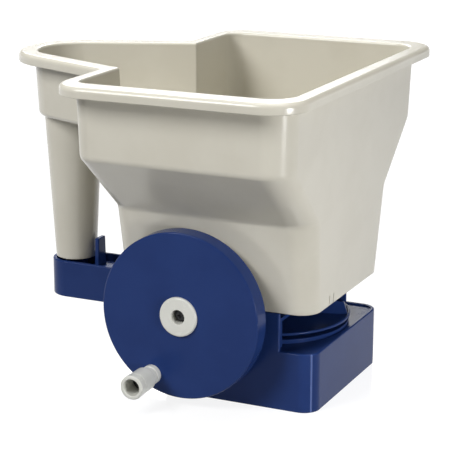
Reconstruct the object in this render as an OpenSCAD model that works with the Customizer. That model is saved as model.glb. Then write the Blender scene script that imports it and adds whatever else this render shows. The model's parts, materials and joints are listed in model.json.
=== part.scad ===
// Hand-crank salt spreader, millimetres.
// +X is the throwing direction, +Z is up, and the crank wheel is on the -Y side.
// The origin is on the foot plane, under the spinner shaft.

/* [Base] */
// Distance of the base's near side from the spinner shaft
base_half_w = 69.6; // [68:0.1:76]
// Distance of the base's far side from the spinner shaft
base_far_w = 63; // [62.5:0.1:69]
// Front face of the base, ahead of the spinner shaft
base_front_x = 62.2; // [61.5:0.1:72]
// Rear end of the raised base under the hopper
base_rear_x = -92; // [-100:0.5:-88]
// Height of the base where the hopper sits
base_h = 72; // [68:0.5:80]
// Height of the front wall under the throwing mouth
mouth_floor_h = 44; // [40:0.5:46]
// How far the floor of the mouth lies below the front wall's edge
mouth_drop = 1.3; // [0.5:0.1:2]
// Where the side walls end and the mouth begins
mouth_x = 34.3; // [30:0.1:40]
// Wall thickness of the base
base_wall = 2.8; // [2.4:0.1:3.4]
// Radius of the base's upright corners
base_corner_r = 12.5; // [10:0.5:18]
// Half the width of the tongue that carries the grip
tongue_half_w = 18.75; // [18:0.25:22]
// Size of the step between the base's side and the hopper's side
hopper_step = 1.3; // [0.3:0.1:1.6]
// Size of the step between the base's front and the hopper's front
front_step = 1.6; // [0.6:0.1:2.4]
// Thickness of the cover under the gear space
cover_t = 2.6; // [2.2:0.1:3.2]

/* [Hopper] */
// Height of the rim's top
rim_h = 238.4; // [225:0.5:260]
// Height of the shoulder under the upper band
shoulder_h = 184.5; // [175:0.5:195]
// Height of the waist at the top of the lower box
waist_h = 140; // [134:0.5:150]
// Half the width inside the rim, outer face of the wall
band_half_w = 130.5; // [110:0.5:140]
// Half the width at the shoulder
shoulder_half_w = 129; // [108:0.5:136]
// Half the width at the waist
waist_half_w = 81; // [75:0.5:84]
// Front wall at the rim
band_front_x = 66.8; // [62:0.1:76]
// Rear wall at the rim
band_rear_x = -97; // [-106:0.5:-94]
// Wall thickness of the hopper
hopper_wall = 2.6; // [2.2:0.1:3.2]
// Place of the small latch in the front wall's lower edge
latch_y = -33.4; // [-40:0.1:40]
// Radius of the front corners
front_corner_r = 18; // [12:0.5:22]
// Radius of the rear corners
rear_corner_r = 14; // [8:0.5:18]
// Width that the rim stands out beyond the sides
rim_side = 15.7; // [10:0.1:20]
// Width that the rim stands out beyond the front
rim_front = 10.4; // [8:0.1:14]
// Width that the rim stands out beyond the rear
rim_rear = 8.5; // [6:0.1:12]
// Radius of the rim's front corners
rim_corner_r = 28; // [22:0.5:34]
// Radius of the rim's rear corners
rim_rear_r = 24; // [14:0.5:28]
// Depth of the rim's turned-down edge
rim_depth = 7.9; // [6:0.1:12]
// Thickness of the rim
rim_t = 2.6; // [2:0.1:3.2]

/* [Lobe] */
// Centre of the round end of the rear lobe
lobe_x = -161; // [-168:0.5:-156]
// Radius of the lobe's rim
lobe_r = 48.6; // [46:0.2:54]
// Angle by which each side of the lobe narrows to the rear
lobe_taper = 21.4; // [18:0.1:24]
// How far the lobe's wall stands inside its rim
lobe_inset = 12; // [10:0.1:13]
// Height of the lobe's underside
lobe_h = 188; // [184:0.5:194]

/* [Grip] */
// Distance of the grip's axis behind the centre of the lobe
grip_shift = 9.3; // [6:0.1:12]
// Radius of the grip at its foot
grip_foot_r = 16; // [14:0.1:16.2]
// Radius of the grip under the lobe
grip_top_r = 22.3; // [20:0.1:22.8]
// Wall thickness of the grip
grip_wall = 2.4; // [2:0.1:3]
// Gap between the grip's foot and the rim of the tongue
grip_foot_gap = 1; // [0.5:0.1:3]

/* [Crank] */
// Crank axis, behind the spinner shaft
crank_x = -31.6; // [-34:0.1:-30]
// Space between the bevel gears and the seat of the disc above them
drive_room = 1.5; // [1:0.1:4]
// Radius of the crank wheel
wheel_r = 61.8; // [61:0.1:64]
// Gap between the crank wheel and the hopper's side
wheel_gap = 1.3; // [1:0.1:4]
// Thickness of the crank wheel
wheel_t = 14.5; // [14:0.1:15]
// Radius of the hub bush's flange
hub_r = 14.65; // [12:0.05:17]
// Radius of the hole in the hub bush
hub_hole_r = 5.4; // [5.3:0.05:6.4]
// Distance of the knob's axis from the wheel's edge
knob_inset = 10.2; // [9:0.1:20]
// Angle of the knob round the crank axis at rest
knob_angle = 244.8; // [200:0.2:300]
// Radius of the knob
knob_r = 9; // [8:0.1:11]
// Length of the knob
knob_l = 27.2; // [24:0.1:34]
// Length of the knob's narrow rear part
knob_waist_l = 6.1; // [4:0.1:9]
// Radius of the knob's narrow rear part
knob_waist_r = 6.8; // [5.5:0.1:7.2]
// Radius of the hollow in the knob's end
knob_hollow_r = 6.25; // [5.8:0.05:6.6]
// Depth of the hollow in the knob's end
knob_hollow_l = 15; // [8:0.5:16]

/* [Gears] */
// Wall between the ring's teeth and the wheel's edge
ring_wall = 4.4; // [3:0.1:6]
// Teeth of the ring inside the crank wheel
ring_teeth = 74; // [72:1:74]
// Teeth of the drive pinion
pinion_teeth = 10; // [10:1:11]
// Teeth of each bevel gear
bevel_teeth = 14; // [12:2:14]
// Module of the bevel gears at their large end
bevel_module = 1.2; // [1:0.05:1.25]

/* [Spinner] */
// Radius of the spinner disc
disc_r = 58.5; // [52:0.5:59]
// Gap under the disc
disc_gap = 3.2; // [2.2:0.1:4]
// Height of the disc's lip
lip_h = 2; // [1.8:0.1:4]
// Gap over the vanes
vane_gap = 2.2; // [1:0.1:5]
// Number of vanes
vane_count = 4; // [3:1:6]
// How far the disc stands out beyond its seat
disc_overhang = 1; // [0:0.25:4]
// Radius of the spinner shaft
spinner_shaft_r = 3; // [2.6:0.1:3.4]
// Radius of the pinion shaft
pinion_shaft_r = 2.5; // [2.2:0.1:2.8]
// Reach of the agitator's arms
agitator_r = 34; // [24:0.5:40]

/* [Dosing slide] */
// Travel of the dosing slide
slide_travel = 18; // [12:0.5:20]
// Length of each dosing port along the travel
port_l = 14; // [10:0.5:14]
// Width of each dosing port
port_w = 24; // [16:0.5:26]
// Height of the lever over the slide
lever_l = 25; // [20:0.5:32]
// Gap between the grip's foot and the lever
lever_gap = 3.8; // [3:0.1:12]
// Width of the lever at its top
lever_w = 11; // [8:0.1:14]
// Width of the lever at its foot
lever_foot_w = 13; // [8:0.1:18]
// Thickness of the lever
lever_t = 3.5; // [3:0.1:5]

/* [Clearances] */
// Radial clearance of each shaft in its bush
running_gap = 0.05; // [0.03:0.01:0.08]
// Gap beside the faces that turn or slide past each other
side_gap = 0.3; // [0.25:0.05:0.4]

/* [Hidden] */
$fn = 64;
eps = 0.01;
cut = 1;
shell_grey = [0.78, 0.77, 0.74];
shell_blue = [0.13, 0.18, 0.40];
screw_black = [0.10, 0.10, 0.11];
trim_grey = [0.84, 0.84, 0.81];
steel = [0.66, 0.67, 0.68];
brass = [0.75, 0.62, 0.33];
felt = [0.32, 0.32, 0.31];

// Base, stacked from the mouth floor up to the hopper
raised_drop = 1;
raised_h = mouth_floor_h - raised_drop;
seat_r = disc_r - disc_overhang;
foot_rear_x = -seat_r - 3;
floor_t = 2.6;
seat_h = 1.7;
deck_t = 2.5;
slide_t = 2.4;
hopper_floor_t = 2.6;
plan_half_w = (base_half_w + base_far_w) / 2;
plan_y = (base_far_w - base_half_w) / 2;
inner_half_w = plan_half_w - base_wall;
spigot_h = base_h - 4.3;
slide_z = spigot_h - side_gap - slide_t;
deck_z = slide_z - side_gap - deck_t;
deck_top = deck_z + deck_t;
seat_top = mouth_floor_h + seat_h;
chamber_r = disc_r + 4.8;
mouth_floor_top = mouth_floor_h - mouth_drop;
mouth_under = mouth_floor_top - floor_t;

// Hopper, sump and ports
box_half_w = base_half_w - hopper_step;
box_front_x = base_front_x - front_step;
rear_lip = 0.5;
box_rear_x = base_rear_x - rear_lip;
sump_front_x = mouth_x - 7;
sump_wall = 2.5;
spigot_half_w = inner_half_w - side_gap;
spigot_rear_x = base_rear_x + base_wall + side_gap;
spigot_front_x = sump_front_x + sump_wall;
spigot_r = base_corner_r - base_wall - side_gap;
port_front_x = -22;
port_bridge = 20;
port_y = (port_bridge + port_w) / 2;
crease = 3.5;
latch_half_w = 4;
latch_slit_w = 1;
latch_h = 8;
corner_steps = 6;
rim_front_x = band_front_x + rim_front;
rim_rear_x = band_rear_x - rim_rear;
rim_half_w = band_half_w + rim_side;
lobe_draft = 2.3;

// Grip
grip_x = lobe_x - grip_shift;
grip_foot_h = base_h + grip_foot_gap;
grip_floor_t = 3;
grip_post_l = 12;
grip_boss_r = 9;
column_head_h = raised_h + 17;
column_screw_l = grip_foot_h + grip_floor_t + grip_post_l - column_head_h - 4;

// Crank and its gears
ring_tip = 0.5;
ring_root = 1.25;
gear_module = (wheel_r - ring_wall) / (ring_teeth / 2 + ring_root);
ring_r = gear_module * ring_teeth / 2;
pinion_r = gear_module * pinion_teeth / 2;
gear_centres = ring_r - pinion_r;
bevel_r = bevel_module * bevel_teeth / 2;
bevel_add = 0.75;
bevel_ded = 1.1;
bevel_tip_r = bevel_r + bevel_add * bevel_module;
pinion_h = seat_top - floor_t - drive_room - bevel_tip_r;
crank_h = pinion_h + sqrt(gear_centres * gear_centres - crank_x * crank_x);
mesh_angle = atan2(pinion_h - crank_h, -crank_x);
wheel_back_y = width_at(crank_h + wheel_r) + wheel_gap;
wheel_face_y = wheel_back_y + wheel_t;
wheel_plate = 3;
wheel_rim = 2.8;
hub_sleeve_r = 9;
hub_flange_t = 2.3;
hub_hole_l = 7.8;
boss_r = 12;
boss_y = wheel_back_y - 0.8;
axle_r = 4;
bush_back_y = boss_y + side_gap;
shoulder_y = wheel_face_y + hub_flange_t - hub_hole_l;
axle_end_y = shoulder_y + 0.2;
axle_start_y = base_half_w + 0.5;
washer_t = 0.8;
head_t = 2.4;
tooth_gap = 0.12;
ring_teeth_t = 9.5;
pinion_face = 8.5;
pinion_back_y = wheel_back_y + 2.5;

// Knob
knob_circle_r = wheel_r - knob_inset;
knob_pin_x = crank_x + knob_circle_r * cos(knob_angle);
knob_pin_h = crank_h + knob_circle_r * sin(knob_angle);
knob_neck_r = 7.2;
knob_neck_l = 4.6;
knob_shaft_r = 3;
knob_root_r = 4;
knob_back_y = wheel_face_y + knob_neck_l + side_gap;
knob_end_y = knob_back_y + knob_l;
knob_seat_y = knob_end_y - knob_hollow_l;

// Drive through the near wall to the bevel gears
bush_wall = 2.5;
bush_flange_t = 1.5;
wall_boss_r = 7.5;
wall_boss_y = boss_y - 0.2;
bracket_y = 19;
bracket_t = 5;
clip_t = 0.8;
clip_w = 2;
bevel_face = 3.6;
bevel_gap = 0.15;
drive_hub_l = bracket_y - bevel_r - side_gap;
driven_hub_l = 5;
pinion_shaft_in = bevel_r - bevel_face;
cover_boss_r = 9;
cover_boss_h = pinion_h - bevel_r - driven_hub_l - bush_flange_t - 5.3;
shaft_foot_h = cover_t + side_gap;
seat_hub_h = mouth_floor_h - 1.4;

// Disc, agitator and the shaft that carries them
disc_h = seat_top + disc_gap;
disc_t = 1.4;
disc_hub_r = 6.6;
disc_hub_h = disc_h + 8.3;
vane_top_h = deck_z - vane_gap;
vane_t = 2;
vane_angle = 15;
seal_r = 9;
seal_t = 2;
agitator_hub_r = 6.5;
agitator_h = spigot_h + hopper_floor_t + seal_t + 0.6;
agitator_hub_l = 12;
agitator_tip_h = 14;
shaft_top_h = agitator_h + agitator_hub_l + 2;
cross_pin_r = 1.1;

// Slide
lever_x = grip_x + grip_foot_r + lever_gap;
shaft_hole_r = spinner_shaft_r + 4;
shutter_rear_x = port_front_x - port_l - slide_travel - 10;
shutter_front_x = port_front_x + 4;
shutter_half_w = port_y + port_w / 2 + 4;
strip_half_w = 10;
notch_half_w = shaft_hole_r;

// Screws
post_r = 4.5;
screw_r = 1.5;
screw_head_r = 3.4;
post_inset = base_wall + 10.2;
cover_screw_l = 11;
hopper_screw_l = 8;
cover_posts = [for (x = [foot_rear_x + post_inset, base_front_x - post_inset])
    for (s = [-1, 1]) [x, post_y(s)]];
hopper_posts = [for (x = [base_rear_x + post_inset + 2, sump_front_x - 8])
    for (s = [-1, 1]) [x, post_y(s)]];

// Place of a screw post beside the near side, s = -1, or the far side, s = 1
function post_y(s) = plan_y + s * (plan_half_w - post_inset - 3);

// Points of an arc
function arc(x, y, r, from, to, steps) =
    [for (i = [0:steps]) let (a = from + (to - from) * i / steps) [x + r * cos(a), y + r * sin(a)]];

// A rectangle with round corners, as points
function box_ring(x0, x1, w, rf, rr) = concat(
    arc(x1 - rf, -w + rf, rf, -90, 0, corner_steps),
    arc(x1 - rf, w - rf, rf, 0, 90, corner_steps),
    arc(x0 + rr, w - rr, rr, 90, 180, corner_steps),
    arc(x0 + rr, -w + rr, rr, 180, 270, corner_steps));

// Outer size of the hopper at a height: rear, front, half width
function front_at(z) = box_front_x + (band_front_x - box_front_x) * (z - base_h) / (rim_h - base_h);
function mix(a, b, t) = a + (b - a) * t;
function rear_at(z) = z < waist_h ? box_rear_x
    : mix(box_rear_x, band_rear_x, min(1, (z - waist_h) / (shoulder_h - waist_h + 10)));
function width_at(z) =
    z < waist_h ? mix(box_half_w, waist_half_w, (z - base_h) / (waist_h - base_h))
    : z < shoulder_h ? mix(waist_half_w, shoulder_half_w, (z - waist_h) / (shoulder_h - waist_h))
    : mix(shoulder_half_w, band_half_w, (z - shoulder_h) / (rim_h - shoulder_h));
function hopper_ring(z, inset) = box_ring(rear_at(z) + inset, front_at(z) - inset,
    width_at(z) - inset, front_corner_r - inset, rear_corner_r - inset);

// Round end and straight narrowing sides of the lobe, open towards the hopper
function lobe_ring(inset, x_end) =
    let (r = lobe_r - inset, side = lobe_x - r * sin(lobe_taper), w = r * cos(lobe_taper),
        w_end = w + (x_end - side) * tan(lobe_taper))
    concat([[x_end, w_end]], arc(lobe_x, 0, r, 90 + lobe_taper, 270 - lobe_taper, 16),
        [[x_end, -w_end]]);

// Solid through a stack of rings, each [height, points], with the same number of points
module loft(stack) {
    n = len(stack[0][1]);
    last = len(stack) - 1;
    polyhedron(
        points = [for (s = stack) for (p = s[1]) [p[0], p[1], s[0]]],
        faces = concat(
            [[for (i = [0:n - 1]) i]],
            [for (k = [0:last - 1]) for (i = [0:n - 1]) for (half = [0, 1])
                let (a = k * n + i, b = k * n + (i + 1) % n)
                half == 0 ? [a, a + n, b + n] : [a, b + n, b]],
            [[for (i = [n - 1:-1:0]) last * n + i]]));
}

// Flat shape with round corners, kept as true arcs
module round_rect(x0, x1, w, r) {
    translate([x0, -w + r]) square([x1 - x0, 2 * (w - r)]);
    translate([x0 + r, -w]) square([x1 - x0 - 2 * r, 2 * w]);
    for (x = [x0 + r, x1 - r]) for (y = [-w + r, w - r]) translate([x, y]) circle(r);
}

// Tube along Z
module tube(r_out, r_in, h) {
    difference() {
        cylinder(r = r_out, h = h);
        translate([0, 0, -cut]) cylinder(r = r_in, h = h + 2 * cut);
    }
}

// Puts children on an axis that runs outward through the near side, z being the distance out
module outward(x, h) {
    translate([x, 0, h]) rotate([90, 0, 0]) children();
}

// Screw along Z with its head's underside at z = 0 and its shank below
module screw(shank_l, head_r) {
    difference() {
        union() {
            cylinder(r = head_r, h = head_t);
            translate([0, 0, -shank_l]) cylinder(r = screw_r, h = shank_l + eps);
        }
        for (a = [0, 90]) rotate(a)
            translate([-head_r * 0.6, -0.45, head_t - 1.2]) cube([head_r * 1.2, 0.9, 2]);
    }
}

// Involute gear profile
function roll(r, base_r) = r <= base_r ? 0 : sqrt(pow(r / base_r, 2) - 1) * 180 / PI - acos(base_r / r);
function gear_points(teeth, mod, add, ded, gap, steps) =
    let (r = mod * teeth / 2, base_r = r * cos(20), tip = r + add * mod, root = r - ded * mod,
        half = 90 / teeth - gap / 2 / r * 180 / PI + roll(r, base_r))
    [for (i = [0:teeth - 1]) for (side = [-1, 1]) for (k = [0:steps])
        let (t = side < 0 ? k / steps : 1 - k / steps, q = mix(root, tip, t),
            a = 360 * i / teeth + side * (half - roll(q, base_r)))
        [q * cos(a), q * sin(a)]];

module hopper() {
    zs = [base_h, waist_h - crease, waist_h + crease, shoulder_h - crease, shoulder_h + crease,
        rim_h - rim_t];
    inner_zs = [base_h + hopper_floor_t, waist_h - crease, waist_h + crease, shoulder_h - crease,
        shoulder_h + crease, rim_h + cut];
    lobe_in = lobe_inset + hopper_wall;
    lobe_end_x = band_rear_x + hopper_wall + 0.5;
    color(shell_grey) difference() {
        union() {
            loft([for (z = zs) [z, hopper_ring(z, 0)]]);
            loft([[lobe_h, lobe_ring(lobe_inset + lobe_draft, lobe_end_x)],
                [rim_h - rim_t, lobe_ring(lobe_inset, lobe_end_x)]]);
            translate([0, 0, rim_h - rim_t]) linear_extrude(rim_t) rim_outline(0);
            translate([0, 0, rim_h - rim_depth]) linear_extrude(rim_depth - eps) difference() {
                rim_outline(0);
                rim_outline(rim_t);
            }
            translate([0, plan_y, spigot_h]) linear_extrude(base_h - spigot_h + 1)
                round_rect(spigot_rear_x, spigot_front_x, spigot_half_w, spigot_r);
        }
        loft([for (z = inner_zs) [z, hopper_ring(z, hopper_wall)]]);
        loft([[lobe_h + hopper_floor_t, lobe_ring(lobe_in + lobe_draft, lobe_end_x + 4)],
            [rim_h + cut, lobe_ring(lobe_in, lobe_end_x + 4)]]);
        translate([0, plan_y, spigot_h + hopper_floor_t]) linear_extrude(base_h)
            round_rect(spigot_rear_x + sump_wall, sump_front_x, spigot_half_w - sump_wall,
                spigot_r - sump_wall);
        translate([grip_x, 0, lobe_h - cut])
            cylinder(r = grip_top_r - grip_wall, h = hopper_floor_t + 2 * cut);
        for (s = [-1, 1])
            translate([box_front_x - hopper_wall / 2, latch_y + s * latch_half_w - latch_slit_w / 2,
                base_h - cut])
                cube([hopper_wall, latch_slit_w, latch_h + cut]);
        translate([0, 0, spigot_h - cut]) {
            dosing_ports(0) cube([port_l, port_w, hopper_floor_t + 2 * cut]);
            cylinder(r = spinner_shaft_r + 1, h = hopper_floor_t + 2 * cut);
            for (p = hopper_posts) translate(p)
                cylinder(r = screw_r + 0.2, h = hopper_floor_t + 2 * cut);
        }
    }
}

// Plan of the rim, drawn in from its edge by inset
module rim_outline(inset) {
    ends = lobe_ring(inset, rim_rear_x + 30);
    round_rect_mixed(rim_rear_x + inset, rim_front_x - inset, rim_half_w - inset,
        rim_corner_r - inset, rim_rear_r - inset);
    translate([lobe_x, 0]) circle(lobe_r - inset);
    polygon([ends[0], ends[1], ends[len(ends) - 2], ends[len(ends) - 1]]);
}

// Round rectangle with one radius at the front and another at the rear
module round_rect_mixed(x0, x1, w, rf, rr) {
    middle = (x0 + x1) / 2;
    round_rect(x0, x1 - rf, w, rr);
    round_rect(middle, x1, w, rf);
}

// Places a box of a dosing port on each side of the shaft
module dosing_ports(shift) {
    for (y = [-port_y, port_y])
        translate([port_front_x - port_l + shift, y - port_w / 2, 0]) children();
}

module grip_column() {
    h = lobe_h - grip_foot_h;
    color(shell_grey) translate([grip_x, 0, grip_foot_h]) difference() {
        union() {
            difference() {
                cylinder(r1 = grip_foot_r, r2 = grip_top_r, h = h);
                translate([0, 0, grip_floor_t])
                    cylinder(r1 = grip_foot_r - grip_wall, r2 = grip_top_r - grip_wall,
                        h = h - grip_floor_t + eps);
            }
            cylinder(r = post_r + 1, h = grip_floor_t + grip_post_l);
        }
        translate([0, 0, -cut]) cylinder(r = screw_r, h = grip_floor_t + grip_post_l);
    }
}

// Plan of the raised part of the base and its tongue
module base_plan(inset) {
    translate([0, plan_y])
        round_rect(base_rear_x + inset, base_front_x - inset, plan_half_w - inset, base_corner_r - inset);
    tongue_plan(inset);
}

module tongue_plan(inset) {
    translate([grip_x, 0]) circle(tongue_half_w - inset);
    translate([grip_x, -tongue_half_w + inset])
        square([base_rear_x - grip_x + base_wall + 1, 2 * (tongue_half_w - inset)]);
}

module foot_plan(inset) {
    translate([0, plan_y])
        round_rect(foot_rear_x + inset, base_front_x - inset, plan_half_w - inset, base_corner_r - inset);
}

module base_housing() {
    color(shell_blue) difference() {
        union() {
            base_shell();
            base_inside();
            base_bosses();
        }
        base_cuts();
    }
}

// Walls and floors
module base_shell() {
    difference() {
        union() {
            linear_extrude(mouth_floor_h) foot_plan(0);
            translate([0, 0, raised_h]) linear_extrude(base_h - raised_h) base_plan(0);
        }
        translate([0, 0, -cut]) linear_extrude(mouth_under + cut) foot_plan(base_wall);
        translate([0, 0, raised_h + floor_t]) linear_extrude(base_h) base_plan(base_wall);
        translate([0, 0, mouth_floor_top]) linear_extrude(base_h) foot_plan(base_wall);
        translate([0, 0, mouth_under - eps])
            cylinder(r = seat_r - base_wall, h = seat_top - floor_t - mouth_under + 2 * eps);
        translate([mouth_x, -2 * base_half_w, mouth_floor_h])
            cube([2 * base_front_x, 4 * base_half_w, base_h]);
    }
}

// Deck, chamber wall, raised seat, posts and guide rails
module base_inside() {
    rail_l = slide_travel + 58;
    translate([0, 0, deck_z]) linear_extrude(deck_t) intersection() {
        base_plan(base_wall / 2);
        translate([lever_x - 1, -base_half_w])
            square([mouth_x - base_wall - lever_x, 2 * base_half_w]);
    }
    translate([0, 0, mouth_floor_top - eps]) linear_extrude(deck_z - mouth_floor_top + 1)
        intersection() {
            difference() {
                circle(chamber_r + base_wall);
                circle(chamber_r);
            }
            translate([-2 * chamber_r, plan_y - inner_half_w - 1])
                square([2 * chamber_r + mouth_x - base_wall, 2 * inner_half_w + 2]);
        }
    translate([0, 0, seat_top - floor_t]) cylinder(r = seat_r, h = floor_t);
    translate([0, 0, mouth_under]) tube(seat_r, seat_r - base_wall, seat_top - mouth_under);
    translate([0, 0, seat_hub_h]) cylinder(r = cover_boss_r, h = seat_top - seat_hub_h);
    for (p = cover_posts) translate([p[0], p[1], cover_t + 2])
        cylinder(r = post_r, h = mouth_under - cover_t - 2 + eps);
    for (p = hopper_posts) translate([p[0], p[1], deck_z])
        cylinder(r = post_r, h = spigot_h - deck_z);
    for (s = [-1, 1]) {
        translate([shutter_rear_x - 6, s * (shutter_half_w + side_gap + 1) - 1, deck_top - eps])
            cube([rail_l, 2, slide_t]);
        translate([lever_x + 4, s * (strip_half_w + side_gap + 1) - 1, deck_top - eps])
            cube([base_rear_x - lever_x - 4, 2, slide_t]);
    }
    translate([grip_x, 0, raised_h]) cylinder(r = grip_boss_r, h = grip_foot_h - raised_h);
    translate([-9, -bracket_y - bracket_t, pinion_h - 10])
        cube([18, bracket_t, seat_top - floor_t - pinion_h + 10 + eps]);
}

// Bosses on the near wall for the crank axle and the pinion shaft
module base_bosses() {
    difference() {
        outward(crank_x, crank_h) translate([0, 0, base_half_w - 1])
            cylinder(r = boss_r, h = boss_y - base_half_w + 1);
        translate([crank_x - 2 * boss_r, -base_half_w - 2.2, base_h])
            cube([4 * boss_r, base_wall + 5, 2 * boss_r]);
    }
    outward(0, pinion_h) translate([0, 0, base_half_w - base_wall - 2])
        cylinder(r = wall_boss_r, h = wall_boss_y - base_half_w + base_wall + 2);
}

// Ports, bores and screw holes
module base_cuts() {
    bush_r = pinion_shaft_r + bush_wall;
    translate([0, 0, seat_hub_h - cut]) cylinder(r = spinner_shaft_r + bush_wall, h = 10);
    translate([0, 0, deck_z - cut]) {
        cylinder(r = shaft_hole_r, h = deck_t + 2 * cut);
        dosing_ports(0) cube([port_l, port_w, deck_t + 2 * cut]);
    }
    translate([base_rear_x - 1, -strip_half_w - side_gap, deck_top])
        cube([base_wall + 2, 2 * (strip_half_w + side_gap), base_h]);
    outward(crank_x, crank_h) translate([0, 0, axle_start_y]) cylinder(r = axle_r, h = boss_y);
    outward(0, pinion_h) {
        translate([0, 0, bracket_y - cut]) cylinder(r = bush_r, h = bracket_t + 2 * cut);
        translate([0, 0, base_half_w - base_wall - 3]) cylinder(r = bush_r, h = wall_boss_y);
    }
    for (p = cover_posts) translate([p[0], p[1], 0]) cylinder(r = screw_r, h = 16);
    for (p = hopper_posts) translate([p[0], p[1], deck_z - cut]) cylinder(r = screw_r, h = 10);
    translate([grip_x, 0, raised_h - cut]) {
        cylinder(r = screw_head_r + 0.8, h = column_head_h - raised_h + cut);
        cylinder(r = screw_r + 0.2, h = grip_foot_h);
    }
}

module base_cover() {
    color(shell_blue) difference() {
        union() {
            linear_extrude(cover_t) foot_plan(base_wall + side_gap / 2);
            cylinder(r = cover_boss_r, h = cover_boss_h);
            for (p = cover_posts) translate(p) cylinder(r = post_r + 1.5, h = cover_t + 2);
            for (s = [-1, 1]) {
                translate([-40, s * 25 - 1, cover_t - eps]) cube([80, 2, 2]);
                translate([s * 25 - 1, -40, cover_t - eps]) cube([2, 80, 2]);
            }
        }
        translate([0, 0, cover_t]) cylinder(r = spinner_shaft_r + bush_wall, h = cover_boss_h);
        for (p = cover_posts) translate([p[0], p[1], -cut]) {
            cylinder(r = screw_head_r + 0.3, h = head_t + cut + 0.2);
            cylinder(r = screw_r + 0.2, h = cover_t + 4);
        }
    }
}

module crank_wheel() {
    bevel = 1;
    color(shell_blue) difference() {
        outward(crank_x, crank_h) difference() {
            union() {
                translate([0, 0, wheel_back_y]) cylinder(r = wheel_r, h = wheel_t - bevel);
                translate([0, 0, wheel_face_y - bevel])
                    cylinder(r1 = wheel_r, r2 = wheel_r - bevel, h = bevel);
            }
            translate([0, 0, wheel_back_y - cut]) difference() {
                cylinder(r = wheel_r - wheel_rim, h = wheel_t - wheel_plate + cut);
                translate([0, 0, wheel_t - wheel_plate - ring_teeth_t + cut]) difference() {
                    cylinder(r = wheel_r - eps, h = ring_teeth_t + cut);
                    translate([0, 0, -cut]) linear_extrude(ring_teeth_t + 3 * cut) rotate(mesh_angle)
                        polygon(gear_points(ring_teeth, gear_module, ring_root, ring_tip, -tooth_gap, 2));
                }
                cylinder(r = hub_sleeve_r + 4, h = wheel_t);
            }
            cylinder(r = hub_sleeve_r, h = 2 * wheel_face_y);
        }
        outward(knob_pin_x, knob_pin_h) cylinder(r = knob_root_r, h = 2 * wheel_face_y);
    }
}

module hub_bush() {
    bevel = 1.2;
    color(trim_grey) outward(crank_x, crank_h) difference() {
        union() {
            translate([0, 0, bush_back_y]) cylinder(r = hub_sleeve_r, h = wheel_face_y - bush_back_y);
            translate([0, 0, wheel_face_y]) cylinder(r = hub_r, h = hub_flange_t - bevel);
            translate([0, 0, wheel_face_y + hub_flange_t - bevel])
                cylinder(r1 = hub_r, r2 = hub_r - bevel, h = bevel);
        }
        cylinder(r = axle_r + running_gap, h = 2 * wheel_face_y);
        translate([0, 0, shoulder_y]) cylinder(r = hub_hole_r, h = wheel_face_y);
    }
}

module crank_axle() {
    color(steel) outward(crank_x, crank_h) difference() {
        translate([0, 0, axle_start_y]) cylinder(r = axle_r, h = axle_end_y - axle_start_y);
        translate([0, 0, axle_end_y - 14]) cylinder(r = screw_r, h = 20);
    }
}

module hub_washer() {
    color(screw_black) outward(crank_x, crank_h) translate([0, 0, axle_end_y])
        tube(hub_hole_r - 0.3, screw_r, washer_t);
}

module hub_screw() {
    color(screw_black) outward(crank_x, crank_h) translate([0, 0, axle_end_y + washer_t])
        screw(12, screw_head_r);
}

module knob_pin() {
    color(trim_grey) outward(knob_pin_x, knob_pin_h) difference() {
        union() {
            translate([0, 0, wheel_face_y - wheel_plate]) cylinder(r = knob_root_r, h = wheel_plate);
            translate([0, 0, wheel_face_y]) cylinder(r = knob_neck_r, h = knob_neck_l);
            translate([0, 0, wheel_face_y])
                cylinder(r = knob_shaft_r, h = knob_seat_y + side_gap - wheel_face_y);
        }
        translate([0, 0, knob_seat_y - 12]) cylinder(r = screw_r, h = 20);
    }
}

// Grip knob: a narrow rear part, the body, a groove and an end collar, turned as one profile
module knob() {
    collar_l = 6.2;
    groove_l = 1;
    body_r = knob_r - 0.3;
    waist_end_y = knob_back_y + knob_waist_l;
    color(trim_grey) outward(knob_pin_x, knob_pin_h) difference() {
        rotate_extrude() polygon([[0, knob_back_y], [knob_waist_r - 0.5, knob_back_y],
            [knob_waist_r, knob_back_y + 0.5], [knob_waist_r, waist_end_y],
            [body_r - 0.6, waist_end_y], [body_r, waist_end_y + 0.8],
            [body_r, knob_end_y - collar_l - groove_l],
            [body_r - 0.4, knob_end_y - collar_l - groove_l], [body_r - 0.4, knob_end_y - collar_l],
            [knob_r, knob_end_y - collar_l], [knob_r, knob_end_y - 1], [knob_r - 0.8, knob_end_y],
            [0, knob_end_y]]);
        cylinder(r = knob_shaft_r + running_gap, h = 2 * knob_end_y);
        translate([0, 0, knob_seat_y]) cylinder(r = knob_hollow_r, h = knob_l);
    }
}

module knob_washer() {
    color(screw_black) outward(knob_pin_x, knob_pin_h) translate([0, 0, knob_seat_y + side_gap])
        tube(knob_hollow_r - 0.5, screw_r, washer_t);
}

module knob_screw() {
    color(screw_black) outward(knob_pin_x, knob_pin_h) translate([0, 0, knob_seat_y + side_gap + washer_t])
        screw(10, screw_head_r);
}

module drive_pinion() {
    color(trim_grey) outward(0, pinion_h) translate([0, 0, pinion_back_y]) difference() {
        linear_extrude(pinion_face) rotate(mesh_angle)
            polygon(gear_points(pinion_teeth, gear_module, 1, 1.25, tooth_gap, 3));
        translate([0, 0, -cut]) cylinder(r = pinion_shaft_r, h = pinion_face + 2 * cut);
    }
}

module pinion_shaft() {
    color(steel) outward(0, pinion_h) translate([0, 0, pinion_shaft_in])
        cylinder(r = pinion_shaft_r, h = pinion_back_y + pinion_face - pinion_shaft_in);
}

// Plain bearing with a flange at its outer end
module flanged_bush(bore_r, body_r, l) {
    difference() {
        union() {
            cylinder(r = body_r, h = l);
            translate([0, 0, l]) cylinder(r = body_r + 2, h = bush_flange_t);
        }
        translate([0, 0, -cut]) cylinder(r = bore_r, h = l + bush_flange_t + 2 * cut);
    }
}

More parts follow.
